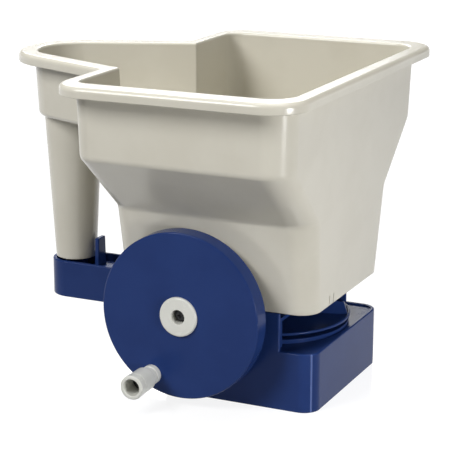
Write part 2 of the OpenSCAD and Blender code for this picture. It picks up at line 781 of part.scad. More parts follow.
module wall_bush() {
    start = base_half_w - base_wall - 2;
    color(brass) outward(0, pinion_h) translate([0, 0, start])
        flanged_bush(pinion_shaft_r + running_gap, pinion_shaft_r + bush_wall, wall_boss_y - start);
}

module inner_bush() {
    color(brass) outward(0, pinion_h) translate([0, 0, bracket_y])
        flanged_bush(pinion_shaft_r + running_gap, pinion_shaft_r + bush_wall, bracket_t);
}

module shaft_clips() {
    ys = [wall_boss_y + bush_flange_t + side_gap, bracket_y + bracket_t + bush_flange_t + side_gap];
    color(steel) outward(0, pinion_h) for (y = ys) translate([0, 0, y])
        tube(pinion_shaft_r + clip_w, pinion_shaft_r, clip_t);
}

// Bevel gear on Z, large end at z = 0, cones meeting at z = bevel_r
module bevel_gear(bore_r, hub_l, turn) {
    difference() {
        union() {
            linear_extrude(bevel_face, scale = (bevel_r - bevel_face) / bevel_r) rotate(turn)
                polygon(gear_points(bevel_teeth, bevel_module, bevel_add, bevel_ded, bevel_gap, 2));
            translate([0, 0, -hub_l]) cylinder(r = bore_r + 3, h = hub_l + eps);
        }
        translate([0, 0, -hub_l - cut]) cylinder(r = bore_r, h = hub_l + bevel_face + 2 * cut);
    }
}

module drive_bevel() {
    color(trim_grey) translate([0, -bevel_r, pinion_h]) rotate([-90, 0, 0])
        bevel_gear(pinion_shaft_r, drive_hub_l, 90);
}

module driven_bevel() {
    color(trim_grey) translate([0, 0, pinion_h - bevel_r])
        bevel_gear(spinner_shaft_r, driven_hub_l, -90 + 180 / bevel_teeth);
}

module spinner_shaft() {
    color(steel) difference() {
        translate([0, 0, shaft_foot_h]) cylinder(r = spinner_shaft_r, h = shaft_top_h - shaft_foot_h);
        agitator_cross(cross_pin_r);
    }
}

module lower_bush() {
    color(brass) translate([0, 0, cover_t])
        flanged_bush(spinner_shaft_r + running_gap, spinner_shaft_r + bush_wall, cover_boss_h - cover_t);
}

module upper_bush() {
    color(brass) translate([0, 0, seat_hub_h])
        flanged_bush(spinner_shaft_r + running_gap, spinner_shaft_r + bush_wall, seat_top - seat_hub_h);
}

module spinner_disc() {
    lip_w = 2;
    top = disc_h + lip_h;
    hub_foot = seat_top + bush_flange_t + side_gap;
    color(shell_blue) difference() {
        union() {
            translate([0, 0, disc_h]) cylinder(r = disc_r, h = disc_t);
            translate([0, 0, disc_h]) tube(disc_r, disc_r - lip_w, top - disc_h);
            translate([0, 0, hub_foot]) cylinder(r = disc_hub_r, h = disc_hub_h - hub_foot);
            for (i = [0:vane_count - 1]) rotate(vane_angle + 360 * i / vane_count)
                translate([0, vane_t / 2, 0]) rotate([90, 0, 0]) linear_extrude(vane_t)
                    polygon([[disc_hub_r - 1, disc_h + 1], [disc_r - 1.5, disc_h + 1],
                        [disc_r - 1.5, top], [disc_r - 4.5, vane_top_h], [disc_hub_r + 8, vane_top_h],
                        [disc_hub_r - 1, min(disc_hub_h - 1, vane_top_h)]]);
        }
        cylinder(r = spinner_shaft_r, h = base_h);
    }
}

module disc_clip() {
    color(steel) translate([0, 0, disc_hub_h]) tube(spinner_shaft_r + 3, spinner_shaft_r, clip_t);
}

module agitator() {
    arm_t = 5;
    arm_z = agitator_h + 4;
    color(trim_grey) difference() {
        union() {
            translate([0, 0, agitator_h]) cylinder(r = agitator_hub_r, h = agitator_hub_l);
            for (a = [0, 180]) rotate(a + 40) {
                translate([0, -arm_t / 2, arm_z]) cube([agitator_r - arm_t / 2, arm_t, 4]);
                translate([agitator_r - arm_t / 2, 0, arm_z]) cylinder(r = arm_t / 2, h = agitator_tip_h);
            }
        }
        translate([0, 0, agitator_h - cut]) cylinder(r = spinner_shaft_r, h = agitator_hub_l + 2 * cut);
        agitator_cross(cross_pin_r);
    }
}

// Cross hole of the agitator's pin
module agitator_cross(r) {
    translate([0, agitator_hub_r + cut, agitator_h + agitator_hub_l - 2.5]) rotate([90, 0, 0])
        cylinder(r = r, h = 2 * agitator_hub_r + 2 * cut);
}

module agitator_pin() {
    color(steel) agitator_cross(cross_pin_r);
}

module shaft_seal() {
    color(felt) translate([0, 0, spigot_h + hopper_floor_t])
        tube(seal_r, spinner_shaft_r + running_gap, seal_t);
}

module dosing_slide() {
    color(shell_blue) difference() {
        union() {
            translate([shutter_rear_x, -shutter_half_w, slide_z])
                cube([shutter_front_x - shutter_rear_x, 2 * shutter_half_w, slide_t]);
            translate([lever_x, -strip_half_w, slide_z])
                cube([shutter_rear_x - lever_x + 1, 2 * strip_half_w, slide_t]);
            translate([lever_x, 0, slide_z]) rotate([90, 0, 90]) linear_extrude(lever_t)
                polygon([[-lever_foot_w / 2, 0], [lever_foot_w / 2, 0], [lever_w / 2, lever_l],
                    [-lever_w / 2, lever_l]]);
        }
        translate([0, 0, slide_z - cut]) {
            dosing_ports(-slide_travel) cube([port_l, port_w, slide_t + 2 * cut]);
            translate([-slide_travel - shaft_hole_r, -notch_half_w, 0])
                cube([base_front_x, 2 * notch_half_w, slide_t + 2 * cut]);
        }
    }
}

module hopper_screws() {
    color(steel) for (p = hopper_posts) translate([p[0], p[1], spigot_h + hopper_floor_t])
        screw(hopper_screw_l, screw_head_r);
}

module cover_screws() {
    color(steel) for (p = cover_posts) translate([p[0], p[1], head_t + 0.2]) rotate([180, 0, 0])
        screw(cover_screw_l, screw_head_r);
}

module column_screw() {
    color(steel) translate([grip_x, 0, column_head_h]) rotate([180, 0, 0])
        screw(column_screw_l, screw_head_r);
}

hopper();
grip_column();
base_housing();
base_cover();
crank_wheel();
hub_bush();
crank_axle();
hub_washer();
hub_screw();
knob_pin();
knob();
knob_washer();
knob_screw();
drive_pinion();
pinion_shaft();
wall_bush();
inner_bush();
shaft_clips();
drive_bevel();
driven_bevel();
spinner_shaft();
lower_bush();
upper_bush();
spinner_disc();
disc_clip();
agitator();
agitator_pin();
shaft_seal();
dosing_slide();
hopper_screws();
cover_screws();
column_screw();
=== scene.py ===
# Hand salt spreader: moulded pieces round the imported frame, a pale floor, soft lamps and the camera.
import json
import math

import bmesh
import bpy
from mathutils import Matrix, Vector


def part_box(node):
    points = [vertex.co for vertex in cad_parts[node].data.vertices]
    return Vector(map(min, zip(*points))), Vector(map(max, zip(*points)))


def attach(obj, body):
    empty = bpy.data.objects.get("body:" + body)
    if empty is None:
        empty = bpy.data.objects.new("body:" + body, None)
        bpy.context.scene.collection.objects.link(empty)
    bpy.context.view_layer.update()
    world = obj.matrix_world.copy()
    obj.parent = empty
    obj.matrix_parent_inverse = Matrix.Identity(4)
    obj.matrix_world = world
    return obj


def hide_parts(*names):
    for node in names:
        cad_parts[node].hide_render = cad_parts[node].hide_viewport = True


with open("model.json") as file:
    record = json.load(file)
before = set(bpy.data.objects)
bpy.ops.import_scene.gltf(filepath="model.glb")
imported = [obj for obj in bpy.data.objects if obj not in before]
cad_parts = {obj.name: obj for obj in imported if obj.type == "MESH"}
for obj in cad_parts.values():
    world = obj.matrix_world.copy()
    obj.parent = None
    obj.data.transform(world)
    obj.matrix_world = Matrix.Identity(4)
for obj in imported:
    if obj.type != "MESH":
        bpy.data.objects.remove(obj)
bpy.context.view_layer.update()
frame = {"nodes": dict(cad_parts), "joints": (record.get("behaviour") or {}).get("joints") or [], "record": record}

mm = 0.001
leastR = 0.02  # a plan's corners never close to a point, in millimetres
weldGap = 1e-7  # points this close become one, in metres
joints = {j["name"]: Vector(j.get("pos_m") or (0, 0, 0)) / mm for j in frame["joints"]}


def span(node):
    # a node's lowest and highest corner, in millimetres
    low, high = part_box(node)
    return low / mm, high / mm


# A plan gives its points for how far it is drawn in from its edge.

def arcPoints(x, y, r, start, end, steps):
    turns = [math.radians(start + (end - start) * i / steps) for i in range(steps + 1)]
    return [(x + r * math.cos(a), y + r * math.sin(a)) for a in turns]


def boxPlan(x0, x1, y0, y1, frontR=0.3, rearR=None, steps=2):
    rear = frontR if rearR is None else rearR

    def plan(inset=0.0):
        f, r = max(frontR - inset, leastR), max(rear - inset, leastR)
        a, b, c, d = x0 + inset, x1 - inset, y0 + inset, y1 - inset
        return (arcPoints(b - f, c + f, f, -90, 0, steps) + arcPoints(b - f, d - f, f, 0, 90, steps)
                + arcPoints(a + r, d - r, r, 90, 180, steps)
                + arcPoints(a + r, c + r, r, 180, 270, steps))
    return plan


def lobedPlan(x0, x1, near, far, frontR, rearR, lobeX, lobeR, taper, nookR, steps=10):
    # a box with a narrowing round-ended lobe behind it and a hollow nook on each side
    nx, ny = -math.sin(math.radians(taper)), math.cos(math.radians(taper))

    def plan(inset=0.0):
        f, r, nook = frontR - inset, max(rearR - inset, leastR), max(nookR + inset, leastR)
        a, b = x0 + inset, x1 - inset
        nookX = a - nook
        nookY = ((lobeX - nookX) * nx + lobeR - inset + nook) / ny

        def flank(edge):
            return (arcPoints(b - f, edge - f, f, 0, 90, steps)
                    + arcPoints(a + r, edge - r, r, 90, 180, steps)
                    + arcPoints(nookX, nookY, nook, 0, taper - 90, steps))
        tail = arcPoints(lobeX, 0, lobeR - inset, 90 + taper, 270 - taper, 4 * steps)
        return flank(far - inset) + tail[1:-1] + [(x, -y) for x, y in reversed(flank(near - inset))]
    return plan


def roundPlan(x, y, r, steps=48):
    return lambda inset=0.0: arcPoints(x, y, r - inset, 0, 360, steps)[:-1]


def soften(corners, closed=True, steps=5):
    # rounds each corner given as (x, y, radius) and keeps the plain ones
    points = []
    for i, corner in enumerate(corners):
        here = Vector(corner[:2])
        if len(corner) < 3 or (not closed and i in (0, len(corners) - 1)):
            points.append(tuple(here))
            continue
        before = (Vector(corners[i - 1][:2]) - here).normalized()
        after = (Vector(corners[(i + 1) % len(corners)][:2]) - here).normalized()
        half = before.angle(after) / 2
        centre = here + (before + after).normalized() * (corner[2] / math.sin(half))
        first = here + before * (corner[2] / math.tan(half)) - centre
        last = here + after * (corner[2] / math.tan(half)) - centre
        start, end = math.atan2(first.y, first.x), math.atan2(last.y, last.x)
        sweep = (end - start + math.pi) % (2 * math.pi) - math.pi
        points += arcPoints(centre.x, centre.y, corner[2], math.degrees(start),
                            math.degrees(start + sweep), steps)
    return points


def solid(name, verts, faces):
    mesh = bpy.data.meshes.new(name)
    mesh.from_pydata([Vector(v) * mm for v in verts], [], faces)
    work = bmesh.new()
    work.from_mesh(mesh)
    bmesh.ops.remove_doubles(work, verts=work.verts, dist=weldGap)
    bmesh.ops.recalc_face_normals(work, faces=work.faces)
    work.to_mesh(mesh)
    work.free()
    piece = bpy.data.objects.new(name, mesh)
    bpy.context.scene.collection.objects.link(piece)
    return piece


def loft(name, rings):
    # rings are (height, points), bottom first, with the same number of points
    count, last = len(rings[0][1]), len(rings) - 1
    verts = [(x, y, z) for z, ring in rings for x, y in ring]
    faces = [tuple(reversed(range(count))), tuple(range(last * count, (last + 1) * count))]
    for k in range(last):
        for i in range(count):
            a, b = k * count + i, k * count + (i + 1) % count
            faces.append((a, b, b + count, a + count))
    return solid(name, verts, faces)


def edgeRings(r, steps=5):
    # (drop from the edge's plane, inset) round a quarter turn
    turns = [math.pi / 2 * i / steps for i in range(steps + 1)]
    return [(r * (1 - math.sin(t)), r * (1 - math.cos(t))) for t in turns]


def slab(name, plan, z0, z1, top=0.0, bottom=0.0):
    low = [(z0 + drop, plan(inset)) for drop, inset in reversed(edgeRings(bottom))] if bottom \
        else [(z0, plan())]
    high = [(z1 - drop, plan(inset)) for drop, inset in edgeRings(top)] if top else [(z1, plan())]
    return loft(name, low + high)


def turned(name, profile, steps=96):
    # closed (radius, height) profile turned round Z
    count = len(profile)
    verts, faces = [], []
    for s in range(steps):
        a = 2 * math.pi * s / steps
        verts += [(r * math.cos(a), r * math.sin(a), h) for r, h in profile]
        for i in range(count):
            j, following = (i + 1) % count, (s + 1) % steps * count
            faces.append((s * count + i, s * count + j, following + j, following + i))
    return solid(name, verts, faces)


def moved(piece, x=0.0, y=0.0, z=0.0, turn=0.0, outward=False):
    # outward stands a piece made along Z out of the near side
    lay = Matrix.Rotation(math.pi / 2, 4, "X") if outward else Matrix.Identity(4)
    spin = Matrix.Rotation(math.radians(turn), 4, "Z")
    piece.data.transform(Matrix.Translation(Vector((x, y, z)) * mm) @ spin @ lay)
    return piece


def built(piece, adds=(), cuts=(), within=()):
    for how, tools in (("UNION", adds), ("DIFFERENCE", cuts), ("INTERSECT", within)):
        for tool in tools:
            step = piece.modifiers.new(how, "BOOLEAN")
            step.operation, step.solver, step.object = how, "MANIFOLD", tool
    graph = bpy.context.evaluated_depsgraph_get()
    mesh = bpy.data.meshes.new_from_object(piece.evaluated_get(graph))
    piece.modifiers.clear()
    piece.data = mesh
    for tool in (*adds, *cuts, *within):
        bpy.data.objects.remove(tool)
    return piece


def finished(piece, body, finish, slotName, *nodes, crease=32):
    for face in piece.data.polygons:
        face.use_smooth = True
    piece.data.set_sharp_from_angle(angle=math.radians(crease))
    weigh = piece.modifiers.new("evenNormals", "WEIGHTED_NORMAL")
    weigh.keep_sharp = True
    piece.data.materials.clear()
    piece.data.materials.append(finish)
    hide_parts(*nodes)
    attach(piece, body)
    return piece


class Wire:
    # a shader socket that can stand in a sum: each operator adds its Math node
    def __init__(self, finish, socket):
        self.finish, self.socket = finish, socket

    def maths(self, operation, other=0.0, first=None):
        return self.finish.add("ShaderNodeMath", {"operation": operation},
                               {0: self if first is None else first, 1: other})

    def __add__(self, other):
        return self.maths("ADD", other)

    def __sub__(self, other):
        return self.maths("SUBTRACT", other)

    def __rsub__(self, other):
        return self.maths("SUBTRACT", self, first=other)

    def __mul__(self, other):
        return self.maths("MULTIPLY", other)

    __radd__ = __add__
    __rmul__ = __mul__


class Finish:
    # the node tree of a material or of the world
    def __init__(self, holder):
        holder.use_nodes = True
        self.holder, self.tree = holder, holder.node_tree
        self.tree.nodes.clear()

    def add(self, kind, settings=None, sockets=None, out=0):
        # settings first, then a value or a link for each socket; gives the output numbered out
        made = self.tree.nodes.new(kind)
        for key, value in (settings or {}).items():
            setattr(made, key, value)
        for key, value in (sockets or {}).items():
            if isinstance(value, Wire):
                self.tree.links.new(value.socket, made.inputs[key])
            else:
                made.inputs[key].default_value = value
        return Wire(self, made.outputs[out]) if made.outputs else None

    def objectPlace(self):
        # the point on the piece, in metres in the shared frame
        return self.add("ShaderNodeTexCoord", out=3)

    def noise(self, where, scale, detail=3.0, roughness=0.5):
        return self.add("ShaderNodeTexNoise", {}, {"Vector": where, "Scale": scale, "Detail": detail,
                                                   "Roughness": roughness})

    def step(self, value, low, high):
        return self.add("ShaderNodeMapRange", {"clamp": True, "interpolation_type": "SMOOTHSTEP"},
                        {"Value": value, "From Min": low, "From Max": high})

    def tint(self, mask, first, second):
        return self.add("ShaderNodeMix", {"data_type": "RGBA"}, {0: mask, 6: first, 7: second}, out=2)

    def bump(self, height, distance, strength=1.0):
        return self.add("ShaderNodeBump", {}, {"Height": height, "Distance": distance,
                                               "Strength": strength})

    def shown(self, shader, kind="ShaderNodeOutputMaterial"):
        self.add(kind, {}, {"Surface": shader})
        return self.holder

    def done(self, sockets):
        return self.shown(self.add("ShaderNodeBsdfPrincipled", {}, sockets))


def colour(r, g, b):
    return (r, g, b, 1.0)


# what the moulded plastics share: detail and roughness of each noise, and the ranges they are read in
moulding = {"flow": (4, 0.55), "grain": (2, 0.6), "scuff": (5, 0.65), "flowRange": (0.35, 0.65),
            "scuffRange": (0.60, 0.80), "flowRelief": 0.6, "highlightFade": 0.35, "coatRough": 0.12}


def mouldedPlastic(name, look):
    # satin moulded plastic: faint flow marks, fine grain and scuffs
    m = moulding
    f = Finish(bpy.data.materials.new(name))
    where = f.objectPlace()
    flow = f.noise(where, look["flowScale"], *m["flow"])
    grain = f.noise(where, look["grainScale"], *m["grain"])
    streaks = f.add("ShaderNodeVectorMath", {"operation": "MULTIPLY"},
                    {0: where, 1: look["scuffStretch"]})
    scuffs = f.step(f.noise(streaks, look["scuffScale"], *m["scuff"]), *m["scuffRange"])
    mottled = f.tint(f.step(flow, *m["flowRange"]), look["colour"], look["shade"])
    wornAndHighlight = f.tint(scuffs * look["scuffs"], mottled, look["scuffColour"])
    if "seamAndHighlight" in look:  # an upright parting line, painted pale along its length as a highlight
        x, y, half, pale = look["seamAndHighlight"]
        acrossX = f.add("ShaderNodeSeparateXYZ", {}, {0: where}) - x * mm
        acrossY = f.add("ShaderNodeSeparateXYZ", {}, {0: where}, out=1) - y * mm
        off = (acrossX * acrossX + acrossY * acrossY).maths("SQRT")
        wornAndHighlight = f.tint(1 - f.step(off, half * mm, (half + m["highlightFade"]) * mm), wornAndHighlight, pale)
    rough = look["rough"] + (flow - 0.5) * look["roughSpread"] + scuffs * look["scuffRough"]
    normal = f.bump(grain + flow * m["flowRelief"], look["grainDepth"])
    return f.done({"Base Color": wornAndHighlight, "Roughness": rough, "Normal": normal,
                   "IOR": look["ior"], "Coat Weight": look["coat"], "Coat Roughness": m["coatRough"]})


hopperFinish = mouldedPlastic("paleGreyPlastic", {
    "colour": colour(0.640, 0.612, 0.525), "shade": colour(0.615, 0.586, 0.498),
    "scuffColour": colour(0.56, 0.530, 0.440), "scuffs": 0.20, "scuffRough": 0.04,
    "scuffScale": 60.0, "scuffStretch": (1.0, 1.0, 3.5), "flowScale": 22.0, "grainScale": 1900.0,
    "grainDepth": 0.00003, "rough": 0.22, "roughSpread": 0.08, "ior": 1.46, "coat": 0.12})
blueLook = {
    "colour": colour(0.0165, 0.0405, 0.160), "shade": colour(0.0145, 0.0360, 0.146),
    "scuffColour": colour(0.034, 0.060, 0.19), "scuffs": 0.22, "scuffRough": 0.06,
    "scuffScale": 85.0, "scuffStretch": (1.0, 1.0, 2.5), "flowScale": 26.0, "grainScale": 2200.0,
    "grainDepth": 0.00003, "rough": 0.18, "roughSpread": 0.06, "ior": 1.19, "coat": 0.0}
blueFinish = mouldedPlastic("navyPlastic", blueLook)
trimFinish = mouldedPlastic("whiteGreyPlastic", {
    "colour": colour(0.74, 0.74, 0.69), "shade": colour(0.71, 0.71, 0.655),
    "scuffColour": colour(0.55, 0.54, 0.49), "scuffs": 0.30, "scuffRough": 0.12,
    "scuffScale": 120.0, "scuffStretch": (1.0, 2.0, 1.0), "flowScale": 60.0, "grainScale": 2600.0,
    "grainDepth": 0.000025, "rough": 0.26, "roughSpread": 0.10, "ior": 1.48, "coat": 0.10})
gearFinish = mouldedPlastic("naturalAcetal", {
    "colour": colour(0.78, 0.775, 0.72), "shade": colour(0.74, 0.735, 0.68),
    "scuffColour": colour(0.60, 0.59, 0.53), "scuffs": 0.35, "scuffRough": 0.10,
    "scuffScale": 240.0, "scuffStretch": (1.0, 1.0, 2.0), "flowScale": 90.0, "grainScale": 3000.0,
    "grainDepth": 0.00002, "rough": 0.38, "roughSpread": 0.14, "ior": 1.48, "coat": 0.0})

# what the metals share: scale, detail and roughness of each noise, and what the lines and spots change
turning = {"lines": (400.0, 3, 0.6), "spots": (420.0, 4, 0.6), "spotRange": (0.52, 0.66), "dulling": 0.6,
           "lineRough": 0.2, "spotRough": 0.14, "lineDepth": 0.00002}


def turnedMetal(name, look):
    # plated or turned metal: fine tool lines, dull spots
    t = turning
    f = Finish(bpy.data.materials.new(name))
    where = f.objectPlace()
    drawn = f.add("ShaderNodeVectorMath", {"operation": "MULTIPLY"}, {0: where, 1: look["lines"]})
    lines = f.noise(drawn, *t["lines"])
    spots = f.step(f.noise(where, *t["spots"]), *t["spotRange"])
    base = f.tint(spots * t["dulling"], look["colour"], look["dull"])
    rough = look["rough"] + (lines - 0.5) * t["lineRough"] + spots * t["spotRough"]
    return f.done({"Base Color": base, "Roughness": rough, "Metallic": look["metallic"],
                   "Normal": f.bump(lines, t["lineDepth"])})


steelFinish = turnedMetal("zincPlatedSteel", {
    "colour": colour(0.60, 0.61, 0.62), "dull": colour(0.42, 0.43, 0.43), "rough": 0.30,
    "metallic": 1.0, "lines": (6.0, 6.0, 1.0)})
brassFinish = turnedMetal("turnedBrass", {
    "colour": colour(0.72, 0.52, 0.22), "dull": colour(0.45, 0.31, 0.14), "rough": 0.28,
    "metallic": 1.0, "lines": (1.0, 5.0, 5.0)})
# black plated steel, made this dark to paint the shade of the deep hub and knob holes that its screws sit in
shadeBlackFinish = turnedMetal("blackPlatedSteelAsShade", {
    "colour": colour(0.012, 0.012, 0.014), "dull": colour(0.030, 0.030, 0.032), "rough": 0.34,
    "metallic": 0.4, "lines": (5.0, 1.0, 5.0)})

felt = {"fibres": (2600.0, 5, 0.8), "fibreRange": (0.3, 0.7), "dark": colour(0.06, 0.06, 0.055),
        "pale": colour(0.13, 0.13, 0.12), "rough": 0.95, "depth": 0.0002}


def pressedFelt():
    f = Finish(bpy.data.materials.new("pressedFelt"))
    fibres = f.noise(f.objectPlace(), *felt["fibres"])
    shade = f.tint(f.step(fibres, *felt["fibreRange"]), felt["dark"], felt["pale"])
    return f.done({"Base Color": shade, "Roughness": felt["rough"],
                   "Normal": f.bump(fibres, felt["depth"])})


feltFinish = pressedFelt()
print("finishes made")

hopper = {
    "base": 72.0, "rim": 238.4, "wall": 2.8, "floor": 2.6,
    "side": [(72.0, 68.3), (140.0, 81.0, 9.0), (184.5, 129.0, 7.0), (238.4, 130.5)],
    "rear": [(72.0, -92.5), (140.0, -93.0), (184.5, -96.0), (238.4, -97.0)],
    "front": (60.6, 66.8), "frontR": (16.0, 21.0), "frontRGrowth": 1.4, "rearR": 14.0,
    "lobeX": -161.0, "lobeR": 48.6, "taper": 21.4, "lobeInset": 12.0, "lobeDraft": 2.3,
    "lobeFloor": 188.0, "lobeEdge": 4.0, "nook": 1.6,
    # where the lobe's outside and its cavity run into the box: x, half width and corner radius
    "lobeJoin": (-86.0, -60.0, 70.0, 4.0), "lobeNook": 1.0, "cavityFront": 12.0, "cavityHalf": 100.0,
    "cavityR": (12.0, 8.0), "lobeFillet": 3.0,
    "crown": 3.6, "skirt": 2.6, "skirtDrop": 7.9, "skirtDraft": 0.3, "lip": 2.0,
    "skirtEdge": [(0.0, 0.7), (0.25, 0.2), (0.7, 0.0)],  # rise and inset
    "underRim": [(4.0, 0.0), (2.9, 0.4), (2.5, 1.4)],  # drop and further inset
    "wallTop": 1.2, "footEdge": 1.2, "wellFillet": 2.0,
    "sump": (-88.9, 29.8, -66.5, 59.9, 9.4), "sumpFoot": 67.7, "sumpWall": 2.5, "sumpLap": 1.5,
    "sumpEdge": 0.8, "sumpFillet": 1.5, "shaftR": 4.0,
    "screws": [(x, y) for x in (-77.0, 19.3) for y in (-53.6, 47.0)], "screwR": 1.7,
    "port": (-36.0, -22.0, 22.0, 12.0), "portR": 0.6, "gripWall": 2.4, "boreCut": (180.0, 200.0),
    "latchY": -33.4, "latchHalf": 4.0, "slitX": (57.0, 63.0), "slitHalf": 0.5, "slitR": 0.2,
    "floorCut": (60.0, 80.0), "over": 8.0, "past": 2.0,
    "shave": 0.01,  # keeps the two cavities' faces apart
}
rimShape = dict(x0=-105.5, x1=77.2, near=146.2, far=146.2, frontR=28.0, rearR=24.0,
                lobeX=hopper["lobeX"], lobeR=hopper["lobeR"], taper=hopper["taper"], nookR=4.0)


def between(table, z):
    # straight reading between the rows of a (height, value) table
    for (z0, v0), (z1, v1) in zip([t[:2] for t in table], [t[:2] for t in table[1:]]):
        if z <= z1:
            return v0 + (v1 - v0) * (z - z0) / (z1 - z0)
    return table[-1][1]


sidePath = soften(hopper["side"], closed=False, steps=6)


def upShare(z):
    return (z - hopper["base"]) / (hopper["rim"] - hopper["base"])


def frontAt(z):
    low, high = hopper["front"]
    return low + (high - low) * upShare(z)


def wallPlan(z, w):
    low, high = hopper["frontR"]
    cornerR = low + (high - low) * min(1, upShare(z) * hopper["frontRGrowth"])
    return boxPlan(between(hopper["rear"], z), frontAt(z), -w, w, cornerR, hopper["rearR"], steps=14)


def wallRings(inset, z0, z1):
    inner = [(z, w) for z, w in sidePath if z0 < z < z1]
    ends = [(z0, between(sidePath, z0)), (z1, between(sidePath, z1))]
    return [(z, wallPlan(z, w)(inset)) for z, w in [ends[0], *inner, ends[1]]]


def lobePlan(z, cavity=False):
    drop = (hopper["rim"] - z) / (hopper["rim"] - hopper["lobeFloor"])
    r = hopper["lobeR"] - hopper["lobeInset"] - hopper["lobeDraft"] * drop
    if cavity:
        half = hopper["cavityHalf"]
        return lobedPlan(between(hopper["rear"], z), frontAt(z) - hopper["cavityFront"], half, half,
                         *hopper["cavityR"], hopper["lobeX"], r, hopper["taper"],
                         hopper["nook"] - hopper["wall"], steps=8)
    x0, x1, half, cornerR = hopper["lobeJoin"]
    return lobedPlan(x0, x1, half, half, cornerR, cornerR, hopper["lobeX"], r, hopper["taper"],
                     hopper["lobeNook"], steps=8)


def portPlan(side, shift=0.0):
    x0, x1, y, half = hopper["port"]
    return boxPlan(x0 + shift, x1 + shift, side * y - half, side * y + half, hopper["portR"])


def makeHopper():
    h = hopper
    rimPlan = lobedPlan(steps=14, **rimShape)
    skirtFoot = h["rim"] - h["skirtDrop"]
    rim = loft("hopperShell", [(skirtFoot + rise, rimPlan(inset)) for rise, inset in h["skirtEdge"]]
               + [(h["rim"] - drop, rimPlan(inset)) for drop, inset in edgeRings(h["crown"], 8)])
    under = loft("under", [(skirtFoot - h["past"], rimPlan(h["skirt"] - h["skirtDraft"]))]
                 + [(h["rim"] - drop, rimPlan(h["skirt"] + more)) for drop, more in h["underRim"]])
    built(rim, cuts=[under])
    top = h["rim"] - h["wallTop"]
    foot = wallRings(0, h["base"] + h["footEdge"], top)
    outer = loft("outer", [(h["base"] + drop, wallPlan(h["base"], sidePath[0][1])(inset))
                           for drop, inset in reversed(edgeRings(h["footEdge"], 4))] + foot[1:])
    edge = [(h["lobeFloor"] + drop, lobePlan(h["lobeFloor"] + drop)(inset))
            for drop, inset in reversed(edgeRings(h["lobeEdge"], 6))]
    lobe = loft("lobe", edge + [(top, lobePlan(top)())])
    sumpPlan = boxPlan(*h["sump"], steps=8)
    sump = slab("sump", sumpPlan, h["sumpFoot"], h["base"] + h["sumpLap"], bottom=h["sumpEdge"])
    wall, lip = h["wall"], h["lip"]
    well = h["base"] + h["floor"]
    lipFoot = h["rim"] - lip
    flare = [(h["rim"] - drop, wall - inset) for drop, inset in edgeRings(lip, 6)]
    inner = [(well + drop, wallPlan(well, between(sidePath, well))(wall + inset))
             for drop, inset in reversed(edgeRings(h["wellFillet"], 4))]
    inner += wallRings(wall, well + h["wellFillet"], lipFoot)[1:-1]
    inner += [(z, wallPlan(z, between(sidePath, z))(inset)) for z, inset in flare]
    inner.append((h["rim"] + h["over"], wallPlan(h["rim"], h["side"][-1][1])(wall - lip)))
    lobeWell = h["lobeFloor"] + wall
    hollow = [(lobeWell + drop, lobePlan(lobeWell + drop, True)(wall + inset + h["shave"]))
              for drop, inset in reversed(edgeRings(h["lobeFillet"], 5))]
    hollow += [(z, lobePlan(z, True)(inset + h["shave"])) for z, inset in flare]
    hollow.append((h["rim"] + h["over"], lobePlan(h["rim"], True)(wall - lip + h["shave"])))
    low, high = span("grip_column")
    gripR = (high.y - low.y) / 2
    cuts = [loft("inner", inner), loft("hollow", hollow),
            slab("well", lambda i=0.0: sumpPlan(h["sumpWall"] + i), h["sumpFoot"] + h["floor"],
                 h["floorCut"][1], bottom=h["sumpFillet"]),
            slab("gripBore", roundPlan(low.x + gripR, 0, gripR - h["gripWall"]), *h["boreCut"]),
            slab("shaftHole", roundPlan(0, 0, h["shaftR"], 32), *h["floorCut"])]
    cuts += [slab("screwHole", roundPlan(x, y, h["screwR"], 20), *h["floorCut"]) for x, y in h["screws"]]
    for side in (-1, 1):
        cuts.append(slab("port", portPlan(side), *h["floorCut"]))
        slit = h["latchY"] + side * h["latchHalf"]
        slitPlan = boxPlan(*h["slitX"], slit - h["slitHalf"], slit + h["slitHalf"], h["slitR"])
        cuts.append(slab("slit", slitPlan, *h["floorCut"]))
    built(rim, adds=[outer, lobe, sump], cuts=cuts)
    return finished(rim, "frame", hopperFinish, "hopper_plastic", "hopper", crease=28)


hopperShell = makeHopper()
print("hopper done", len(hopperShell.data.polygons))

grip = {"foot": 73.0, "top": 188.0, "footR": 16.0, "topR": 22.3, "wall": 2.4, "floor": 3.0,
        "postR": 5.5, "post": 15.0, "screwR": 1.5}


def makeGrip():
    g = grip
    x = span("grip_column")[0].x + g["topR"]
    slope = (g["topR"] - g["footR"]) / (g["top"] - g["foot"])
    inner = g["footR"] - g["wall"] + slope * g["floor"]
    floorTop, postTop = g["foot"] + g["floor"], g["foot"] + g["post"]
    profile = soften([(g["screwR"], g["foot"]), (g["footR"], g["foot"], 0.9), (g["topR"], g["top"]),
                      (g["topR"] - g["wall"], g["top"]), (inner, floorTop, 2.0),
                      (g["postR"], floorTop, 1.0), (g["postR"], postTop, 0.6), (g["screwR"], postTop)])
    return finished(moved(turned("gripTube", profile), x=x), "frame", hopperFinish, "hopper_plastic",
                    "grip_column")


makeGrip()
print("grip done")

wheel = {"edge": 1.1, "rimWall": 2.8, "plate": 3.0, "sleeveIn": 9.0, "sleeveOut": 13.0, "teeth": 74,
         "ring": 9.5, "toothRoot": 57.4, "toothTip": 54.75, "pinHole": 4.0,
         "tipShare": 0.36, "rootShare": 0.17,  # half a gap's width at tip and root, in teeth
         "ringLap": 0.5, "cut": (0.0, 200.0), "past": (20.0, 1.0)}


